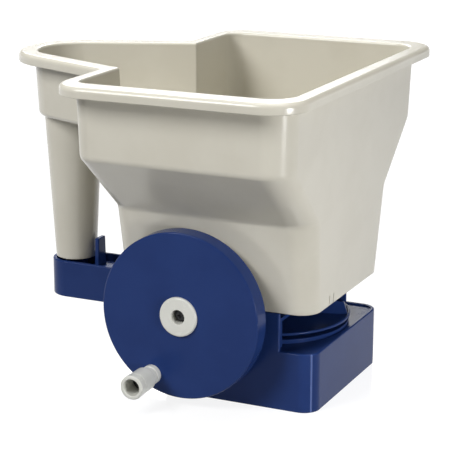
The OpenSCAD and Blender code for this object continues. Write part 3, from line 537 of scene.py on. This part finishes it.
def makeWheel():
    w = wheel
    low, high = span("crank_wheel")
    r, back, face = (high.x - low.x) / 2, -high.y, -low.y
    axis = joints["crank_turn"]
    inside = face - w["plate"]
    profile = soften([(w["sleeveIn"], back), (w["sleeveOut"], back, 0.4), (w["sleeveOut"], inside, 1.0),
                      (r - w["rimWall"], inside, 0.8), (r - w["rimWall"], back, 0.5), (r, back, 0.9),
                      (r, face, w["edge"]), (w["sleeveIn"], face)])
    body = turned("crankDisc", profile, 192)
    ring = slab("ring", roundPlan(0, 0, r - w["rimWall"] / 2, 192), inside - w["ring"],
                inside + w["ringLap"])
    pitch = 2 * math.pi / w["teeth"]
    drive = joints["drive_spin"]
    mesh = math.atan2(drive.z - axis.z, drive.x - axis.x)
    gap = []
    for i in range(w["teeth"]):
        for share, rr in ((-w["tipShare"], w["toothTip"]), (-w["rootShare"], w["toothRoot"]),
                          (w["rootShare"], w["toothRoot"]), (w["tipShare"], w["toothTip"])):
            a = mesh + pitch * (i + share)
            gap.append((rr * math.cos(a), rr * math.sin(a)))
    built(ring, cuts=[loft("teeth", [(inside - w["past"][0], gap), (inside + w["past"][1], gap)])])
    pin = joints["knob_spin"] - axis
    hole = slab("pinHole", roundPlan(pin.x, pin.z, w["pinHole"]), *w["cut"])
    sleeve = slab("sleeveHole", roundPlan(0, 0, w["sleeveIn"], 96), *w["cut"])
    built(body, adds=[ring], cuts=[hole, sleeve])
    moved(body, axis.x, 0, axis.z, outward=True)
    return finished(body, "crank", blueFinish, "blue_plastic", "crank_wheel")


hubBush = {"bore": 4.05, "sleeveR": 8.98, "flangeR": 14.65, "edge": 1.35, "holeR": 5.4, "hole": 7.8,
           "seatGap": 0.02}


def makeHub():
    h = hubBush
    low, high = span("hub_bush")
    face, back = -low.y, -high.y
    axis = joints["crank_turn"]
    seat, holeEnd = -span("crank_wheel")[0].y + h["seatGap"], face - h["hole"]
    profile = soften([(h["bore"], back), (h["sleeveR"], back, 0.4), (h["sleeveR"], seat),
                      (h["flangeR"], seat), (h["flangeR"], face, h["edge"]), (h["holeR"], face, 0.5),
                      (h["holeR"], holeEnd), (h["bore"], holeEnd)])
    piece = moved(turned("hubFlange", profile, 128), axis.x, 0, axis.z, outward=True)
    return finished(piece, "crank", trimFinish, "trim_plastic", "hub_bush")


knob = {"bore": 3.05, "waistR": 6.8, "waist": 6.1, "bodyR": 8.7, "collar": 6.2, "collarR": 9.0,
        "grooveR": 8.3, "groove": 1.0, "hollowR": 6.25, "hollow": 15.0}
knobStem = {"r": 3.0, "neckR": 7.2, "neck": 4.6, "rootR": 4.0, "root": 3.0, "pilotR": 1.5, "pilot": 12.0,
            "seatGap": 0.02}


def makeKnob():
    k, s = knob, knobStem
    axis = joints["knob_spin"]
    low, high = span("knob")
    back, end = -high.y, -low.y
    waist, collar, hollow = back + k["waist"], end - k["collar"], end - k["hollow"]
    groove = collar - k["groove"]
    profile = soften([(k["bore"], back), (k["waistR"], back, 0.5), (k["waistR"], waist, 0.5),
                      (k["bodyR"], waist, 0.9), (k["bodyR"], groove, 0.25), (k["grooveR"], groove, 0.2),
                      (k["grooveR"], collar, 0.2), (k["collarR"], collar, 0.35),
                      (k["collarR"], end, 1.1), (k["hollowR"], end, 0.5), (k["hollowR"], hollow, 0.8),
                      (k["bore"], hollow)])
    piece = moved(turned("turningKnob", profile, 96), axis.x, 0, axis.z, outward=True)
    finished(piece, "knob", trimFinish, "trim_plastic", "knob")
    face, top = -span("crank_wheel")[0].y, -span("knob_pin")[0].y
    seat, neck, root, pilot = face + s["seatGap"], face + s["neck"], face - s["root"], top - s["pilot"]
    stem = soften([(s["pilotR"], pilot), (s["pilotR"], top), (s["r"], top, 0.3), (s["r"], neck),
                   (s["neckR"], neck, 0.9), (s["neckR"], seat), (s["rootR"], seat), (s["rootR"], root),
                   (0, root), (0, pilot)])
    pin = moved(turned("knobStem", stem, 64), axis.x, 0, axis.z, outward=True)
    finished(pin, "crank", trimFinish, "trim_plastic", "knob_pin")


makeWheel()
makeHub()
makeKnob()
print("crank done")

disc = {"r": 58.5, "foot": 48.9, "plate": 1.4, "lip": 2.0, "lipW": 2.0, "hubR": 6.6, "hubFoot": 47.5,
        "hubTop": 57.2, "bore": 3.0, "vaneTop": 60.0, "vane": 2.0, "vaneTurn": 15.0, "vanes": 4,
        "vaneFootR": 57.0, "vaneTopR": 54.0, "lap": 0.4, "vaneRise": 8.0, "vaneLap": 1.0,
        "lipSlope": 0.3, "hubDraft": 0.2, "cut": (40.0, 70.0)}


def makeDisc():
    d = disc
    plateTop, lipTop = d["foot"] + d["plate"], d["foot"] + d["lip"]
    profile = soften([(d["bore"], d["hubFoot"]), (d["hubR"], d["hubFoot"]), (d["hubR"], d["foot"]),
                      (d["r"], d["foot"], 0.6), (d["r"], lipTop, 0.9), (d["r"] - d["lipW"], lipTop, 0.7),
                      (d["r"] - d["lipW"] - d["lipSlope"], plateTop, 0.3),
                      (d["hubR"] + d["hubDraft"], plateTop, 1.5), (d["hubR"], d["hubTop"], 0.5),
                      (d["bore"], d["hubTop"])])
    body = turned("throwingDisc", profile, 192)
    vaneFoot, vaneIn, vaneTop = plateTop - d["lap"], d["hubR"] - d["vaneLap"], d["vaneTop"]
    vanePlan = soften([(vaneIn, vaneFoot), (d["vaneFootR"], vaneFoot), (d["vaneTopR"], vaneTop, 1.2),
                       (d["hubR"] + d["vaneRise"], vaneTop, 2.0), (vaneIn, d["hubTop"] - d["vaneLap"])])
    vanes = []
    for i in range(d["vanes"]):
        vane = loft("vane", [(-d["vane"] / 2, vanePlan), (d["vane"] / 2, vanePlan)])
        vanes.append(moved(vane, turn=d["vaneTurn"] + 360 * i / d["vanes"], outward=True))
    built(body, adds=vanes, cuts=[slab("bore", roundPlan(0, 0, d["bore"]), *d["cut"])])
    return finished(body, "spinner", blueFinish, "blue_plastic", "spinner_disc")


stirrer = {"hubR": 6.5, "hub": 12.0, "reach": 31.5, "armHalf": 2.5, "armFoot": 4.0, "armTop": 8.0,
           "turns": (40, 220), "pinR": 1.1, "pin": 9.5, "pinPast": 0.1, "bore": 3.0,
           "cut": (60.0, 100.0)}


def makeAgitator():
    s = stirrer
    low, high = span("agitator")
    hub = slab("stirrer", roundPlan(0, 0, s["hubR"], 64), low.z, low.z + s["hub"], top=1.0, bottom=0.4)
    armFoot, armTop = low.z + s["armFoot"], low.z + s["armTop"]
    adds = []
    for turn in s["turns"]:
        arm = slab("arm", boxPlan(0, s["reach"], -s["armHalf"], s["armHalf"]), armFoot, armTop, 0.8, 0.8)
        tip = slab("tip", roundPlan(s["reach"], 0, s["armHalf"], 40), armFoot, high.z, 1.2, 0.8)
        adds += [moved(arm, turn=turn), moved(tip, turn=turn)]
    pinEnd = s["hubR"] + s["pinPast"]
    pin = moved(slab("cross", roundPlan(0, 0, s["pinR"], 32), -pinEnd, pinEnd), z=low.z + s["pin"],
                outward=True)
    built(hub, adds=adds, cuts=[slab("bore", roundPlan(0, 0, s["bore"]), *s["cut"]), pin])
    return finished(hub, "spinner", gearFinish, "gear_plastic", "agitator")


makeDisc()
makeAgitator()
print("disc and agitator done")

slide = {"thick": 2.4, "half": 38.0, "rear": -64.0, "front": -18.0, "stripHalf": 10.0, "travel": 18.0,
         "leverT": 3.5, "leverFoot": 13.0, "leverTop": 11.0, "leverEdge": 0.9, "notch": 7.0,
         "edge": 0.3, "cornerR": 1.0, "lap": 2.0, "past": (1.0, 5.0), "notchEnd": 20.0, "gap": 0.3}


def makeSlide():
    s = slide
    low, high = span("dosing_slide")
    x, z, top = low.x, low.z, high.z

    def sheet(name, x0, x1, half):
        plan = boxPlan(x0, x1, -half, half, s["cornerR"])
        return slab(name, plan, z, z + s["thick"], top=s["edge"], bottom=s["edge"])

    def leverRing(height, inset=0.0):
        half = (s["leverFoot"] + (s["leverTop"] - s["leverFoot"]) * (height - z) / (top - z)) / 2
        return height, boxPlan(x, x + s["leverT"], -half, half, s["leverEdge"], steps=4)(inset)

    plate = sheet("dosingShutter", s["rear"], s["front"], s["half"])
    strip = sheet("strip", x, s["rear"] + s["lap"], s["stripHalf"])
    tab = loft("tab", [leverRing(z)] + [leverRing(top - drop, inset)
                                        for drop, inset in edgeRings(s["leverEdge"])])
    under, over = z - s["past"][0], z + s["past"][1]
    cuts = [slab("port", portPlan(side, -s["travel"]), under, over) for side in (-1, 1)]
    notchPlan = boxPlan(s["front"] - s["notch"], s["notchEnd"], -s["notch"], s["notch"], hopper["portR"])
    cuts.append(slab("notch", notchPlan, under, over))
    built(plate, adds=[strip, tab], cuts=cuts)
    return finished(plate, "dosing", blueFinish, "blue_plastic", "dosing_slide")


makeSlide()
print("slide done")

base = {
    "near": -69.6, "far": 63.0, "front": 62.2, "footRear": -60.5, "rear": -92.0, "cornerR": 12.5,
    "wall": 2.8, "mouth": 34.3, "edge": 44.0, "floor": 42.7, "under": 40.1, "raised": 43.0,
    "tub": 45.6, "top": 72.0, "tongueX": -170.3, "tongueW": 18.75, "seatR": 57.5, "seatTop": 45.7,
    "seatT": 2.6, "hubFoot": 42.6, "deck": 62.2, "deckTop": 64.7, "chamberR": 63.3, "bossR": 12.0,
    "bearingR": 7.5, "bushR": 5.0, "axleR": 4.0, "postR": 4.5, "pilotR": 1.5, "postFoot": 4.6,
    "rail": (-70.0, 6.0), "railT": 2.0, "railTop": 67.1, "railLap": 0.7, "railGap": 4.5, "nook": 2.0,
    "seatHubR": 9.0, "gripBossR": 9.0, "bracket": (9.0, -24.0, -19.0, 10.0),
    "covers": [(x, y) for x in (-47.5, 49.2) for y in (-53.6, 47.0)],
    # roundings: a pair is at the top and at the bottom
    "footEdge": (1.0, 0.4), "upperEdge": (0.9, 0.6), "tubFillet": 1.2, "seatEdge": 0.7,
    "wellFillet": 0.9, "railEdge": 0.3, "bossEdge": 0.6, "bearingEdge": 0.4,
    # holes: radius, and where each cut starts and ends
    "boreR": 5.5, "boreCut": (38.0, 53.0), "deckHoleR": 7.0, "deckCut": (60.0, 66.0),
    "bushCut": (18.0, 26.0), "screwWellR": 4.2, "screwWellCut": (40.0, 60.0), "screwR": 1.7,
    "screwCut": (40.0, 80.0), "coverPilot": (-1.0, 16.0), "hopperPilot": (60.0, 70.0),
    "axleStart": 0.5, "hopperRoom": (24.0, 2.2, -60.0, 100.0),
    # how far a cutter reaches and pieces run into each other, and the gaps that stay
    "clip": 90.0, "lap": 1.0, "sliver": 0.1, "play": 0.3, "wheelPlay": 0.8, "bearingSunk": 0.2,
}
# the thin upright rib on the front corner, where the mould parts, and the pale line painted along it as a
# highlight
seamAndHighlight = {"turn": math.radians(-42.0), "r": 0.65, "sunk": 0.45, "foot": 0.5, "drop": 0.6, "paintOut": 0.06,
        "paintHalf": 0.55, "pale": colour(0.10, 0.15, 0.36)}


def seamPoint(out):
    # a point on the line of the rib, so far out from the corner's face
    r = base["cornerR"] + out
    return (base["front"] - base["cornerR"] + r * math.cos(seamAndHighlight["turn"]),
            base["near"] + base["cornerR"] + r * math.sin(seamAndHighlight["turn"]))


# the base's navy plastic, with a pale line painted along the corner rib as a highlight
baseFinishWithHighlight = mouldedPlastic("navyPlasticWithHighlight", {
    **blueLook, "seamAndHighlight": (*seamPoint(seamAndHighlight["paintOut"]), seamAndHighlight["paintHalf"], seamAndHighlight["pale"])})


def makeBase():
    b = base
    wall, lap, clip = b["wall"], b["lap"], b["clip"]
    near, innerNear = -b["near"], -b["near"] - wall  # along the way out of the near side
    foot = boxPlan(b["footRear"], b["front"], b["near"], b["far"], b["cornerR"], steps=14)
    raised = lobedPlan(b["rear"], b["front"], near, b["far"], b["cornerR"], b["cornerR"], b["tongueX"],
                       b["tongueW"], 0, b["nook"], steps=12)
    crank, wheelBack = joints["crank_turn"], -span("crank_wheel")[1].y
    pinionZ, bossEnd = joints["drive_spin"].z, wheelBack - b["wheelPlay"]
    slideRear, mouthWall = span("dosing_slide")[0].x, b["mouth"] - wall

    def box(x0, x1, y0=-clip, y1=clip, z0=0, z1=clip):
        return slab("box", boxPlan(x0, x1, y0, y1), z0, z1)

    def inward(plan):
        return lambda inset=0.0: plan(wall + inset)

    def outOfSide(name, x, z, r, start, end, steps=48, top=0.0):
        return moved(slab(name, roundPlan(0, 0, r, steps), start, end, top=top), x, 0, z, outward=True)

    body = slab("baseShell", foot, 0, b["edge"], *b["footEdge"])
    deckEdge = built(slab("deck", lambda i=0.0: raised(wall / 2), b["deck"], b["deckTop"]),
                     within=[box(slideRear - lap, mouthWall)])
    upper = built(slab("upper", raised, b["raised"], b["top"], *b["upperEdge"]),
                  cuts=[box(b["mouth"], clip), slab("tub", inward(raised), b["tub"], clip,
                                                    bottom=b["tubFillet"])])
    chamber = built(slab("chamber", roundPlan(0, 0, b["chamberR"] + wall, 128), b["floor"] - b["play"],
                         b["deck"] + lap),
                    cuts=[slab("hole", roundPlan(0, 0, b["chamberR"], 128), 0, clip)])
    built(chamber, within=[box(-clip, mouthWall, b["near"] + wall - lap, b["far"] - wall + lap)])
    seatFoot, seatInR = b["under"] - b["sliver"], b["seatR"] - wall
    seatProfile = soften([(seatInR, seatFoot), (b["seatR"], seatFoot),
                          (b["seatR"], b["seatTop"], b["seatEdge"]), (seatInR, b["seatTop"])])
    reach, y0, y1, drop = b["bracket"]
    adds = [slab("seamAndHighlight", roundPlan(*seamPoint(-seamAndHighlight["sunk"]), seamAndHighlight["r"], 16), seamAndHighlight["foot"],
                 b["edge"] - seamAndHighlight["drop"]),
            chamber, deckEdge, turned("seatRing", seatProfile, 160),
            slab("seat", roundPlan(0, 0, b["seatR"] - lap, 96), b["seatTop"] - b["seatT"], b["seatTop"]),
            slab("seatHub", roundPlan(0, 0, b["seatHubR"]), b["hubFoot"], b["seatTop"]),
            slab("gripBoss", roundPlan(b["tongueX"], 0, b["gripBossR"]), b["raised"] + b["sliver"],
                 grip["foot"]),
            box(-reach, reach, y0, y1, pinionZ - drop, b["seatTop"] - lap)]
    adds += [slab("post", roundPlan(x, y, b["postR"], 32), b["postFoot"], b["under"] + lap)
             for x, y in b["covers"]]
    adds += [slab("post", roundPlan(x, y, b["postR"], 32), b["deck"] + lap, hopper["sumpFoot"])
             for x, y in hopper["screws"]]
    for side, edge in ((-1, b["near"] + wall / 2), (1, b["far"] - wall / 2)):
        adds.append(slab("wallEnd", roundPlan(b["mouth"], edge, wall / 2, 24), b["edge"] - lap, b["top"],
                         top=b["upperEdge"][0]))
        for x0, x1, y in ((*b["rail"], slide["half"]),
                          (slideRear + b["railGap"], b["rear"], slide["stripHalf"])):
            middle, half = side * (y + slide["gap"] + b["railT"] / 2), b["railT"] / 2
            adds.append(slab("rail", boxPlan(x0, x1, middle - half, middle + half),
                             b["deckTop"] - b["railLap"], b["railTop"], top=b["railEdge"]))
    boss = outOfSide("boss", crank.x, crank.z, b["bossR"], near - lap, bossEnd, 64, b["bossEdge"])
    half, into, inner, high = b["hopperRoom"]
    built(boss, cuts=[box(crank.x - half, crank.x + half, b["near"] - into, inner, b["top"], high)])
    adds += [boss, outOfSide("bearing", 0, pinionZ, b["bearingR"], innerNear - 2 * lap,
                             bossEnd - b["bearingSunk"], top=b["bearingEdge"])]
    slotHalf = slide["stripHalf"] + slide["gap"]
    cuts = [slab("bore", roundPlan(0, 0, b["boreR"]), *b["boreCut"]),
            slab("deckHole", roundPlan(0, 0, b["deckHoleR"]), *b["deckCut"]),
            box(b["rear"] - lap, b["rear"] + wall + lap, -slotHalf, slotHalf, b["deckTop"]),
            outOfSide("axleHole", crank.x, crank.z, b["axleR"], near + b["axleStart"], clip),
            outOfSide("bushHole", 0, pinionZ, b["bushR"], *b["bushCut"]),
            outOfSide("bushHole", 0, pinionZ, b["bushR"], innerNear - 3 * lap, clip),
            slab("screwWell", roundPlan(b["tongueX"], 0, b["screwWellR"]), *b["screwWellCut"]),
            slab("screwHole", roundPlan(b["tongueX"], 0, b["screwR"]), *b["screwCut"])]
    cuts += [slab("port", portPlan(side), *b["deckCut"]) for side in (-1, 1)]
    cuts += [slab("pilot", roundPlan(x, y, b["pilotR"], 20), *b["coverPilot"]) for x, y in b["covers"]]
    cuts += [slab("pilot", roundPlan(x, y, b["pilotR"], 20), *b["hopperPilot"])
             for x, y in hopper["screws"]]
    built(body, adds=[upper])
    built(body, cuts=[slab("under", inward(foot), -lap, b["under"]),
                      slab("well", inward(foot), b["floor"], clip, bottom=b["wellFillet"]),
                      slab("seatUnder", roundPlan(0, 0, seatInR, 96), b["under"] - 2 * b["sliver"],
                           b["seatTop"] - b["seatT"])])
    built(body, adds=adds, cuts=cuts)
    return finished(body, "frame", baseFinishWithHighlight, "blue_plastic", "base_housing")


baseShell = makeBase()
print("base done", len(baseShell.data.polygons))

# the finish of each slot, for the nodes that keep their shape
keeps = {"steel": steelFinish, "black_steel": shadeBlackFinish, "bush_brass": brassFinish,
         "seal_felt": feltFinish, "gear_plastic": gearFinish, "blue_plastic": blueFinish,
         "trim_plastic": trimFinish, "hopper_plastic": hopperFinish}
for part in frame["record"]["subparts"]:
    node = frame["nodes"][part["node"]]
    node.data.materials.clear()
    node.data.materials.append(keeps[part["material_slot"]])
print("kept nodes finished")

# The sky is dark, as in a studio, and the floor turns up at its far edge into a low white backdrop.
studio = {"sky": 0.06, "floorGlow": 0.86, "floorShade": 0.22, "floorGloss": 0.50, "floorRough": 0.10,
          "reach": 14.0, "backdrop": 2.0, "sunk": 0.05, "patchScale": 3.0, "patch": 0.02}


def makeFloor():
    s = studio
    f = Finish(bpy.data.materials.new("paleFloor"))
    dark, pale = [colour(*[s["floorShade"] + more] * 3) for more in (0, s["patch"])]
    shade = f.tint(f.noise(f.objectPlace(), s["patchScale"]), dark, pale)
    matt = f.add("ShaderNodeBsdfPrincipled", {}, {
        "Base Color": shade, "Roughness": s["floorRough"], "Specular IOR Level": s["floorGloss"]})
    # it glows only where the camera, a reflection or glass sees it, so it adds no diffuse light
    camera, glossy, through = [f.add("ShaderNodeLightPath", out=ray) for ray in (0, 3, 6)]
    seen = f.add("ShaderNodeClamp", {}, {"Value": camera + glossy + through})
    glow = f.add("ShaderNodeEmission", {}, {"Strength": seen * s["floorGlow"]})
    material = f.shown(f.add("ShaderNodeAddShader", {}, {0: matt, 1: glow}))
    reach, rise = s["reach"] / mm, s["backdrop"] / mm
    edge = roundPlan(0, 0, reach)()
    verts = [(x, y, -s["sunk"]) for x, y in edge] + [(x, y, rise) for x, y in edge]
    count = len(edge)
    faces = [tuple(range(count))] + [(i, (i + 1) % count, count + (i + 1) % count, count + i)
                                     for i in range(count)]
    floor = solid("floor", verts, faces)
    floor.data.materials.append(material)


def makeWorld():
    f = Finish(bpy.data.worlds.new("studio"))
    sky = f.add("ShaderNodeBackground", {}, {"Color": colour(1, 1, 1), "Strength": studio["sky"]})
    bpy.context.scene.world = f.shown(sky, "ShaderNodeOutputWorld")


partMiddle = (0, 0, 0.12)
lamps = {  # metres and watts
    "leftLamp": {"place": (-0.8, -1.4, 1.35), "aim": partMiddle, "size": (0.7, 0.9), "watts": 30.0},
    "rightLamp": {"place": (1.6, -1.0, 0.75), "aim": partMiddle, "size": (0.8, 0.9), "watts": 1.5},
    "lowLamp": {"place": (0.72, -0.305, 0.13), "aim": (0.06, -0.06, 0.06), "size": (0.16, 0.11),
                "watts": 3.1},
    "topLamp": {"place": (0.0, 0.1, 1.9), "aim": partMiddle, "size": (1.5, 1.1), "watts": 24.0},
    "backLamp": {"place": (-0.9, 1.5, 1.1), "aim": partMiddle, "size": (1.0, 0.9), "watts": 15.0},
}


def makeLamps():
    for name, look in lamps.items():
        light = bpy.data.lights.new(name, "AREA")
        light.shape, light.energy = "RECTANGLE", look["watts"]
        light.size, light.size_y = look["size"]
        lamp = bpy.data.objects.new(name, light)
        lamp.location = look["place"]
        back = Vector(look["place"]) - Vector(look["aim"])
        lamp.rotation_euler = back.to_track_quat("Z", "Y").to_euler()
        bpy.context.scene.collection.objects.link(lamp)


lens = {"focal": 133.45, "sensor": 36.0, "yaw": 25.29, "pitch": 15.05, "far": 1263.7,
        "aim": (-40.0, 0.0, 112.06), "seesTo": 60.0}


def makeCamera():
    yaw, pitch = math.radians(lens["yaw"]), math.radians(lens["pitch"])
    back = Vector((math.sin(yaw) * math.cos(pitch), -math.cos(yaw) * math.cos(pitch), math.sin(pitch)))
    data = bpy.data.cameras.new("photoCamera")
    data.lens, data.sensor_width, data.sensor_fit = lens["focal"], lens["sensor"], "HORIZONTAL"
    data.clip_end = lens["seesTo"]
    camera = bpy.data.objects.new("photoCamera", data)
    camera.location = (Vector(lens["aim"]) + back * lens["far"]) * mm
    camera.rotation_euler = back.to_track_quat("Z", "Y").to_euler()
    bpy.context.scene.collection.objects.link(camera)
    bpy.context.scene.camera = camera


makeFloor()
makeWorld()
makeLamps()
makeCamera()
bpy.context.scene.view_settings.view_transform = "Standard"
print("floor, lamps and camera done")
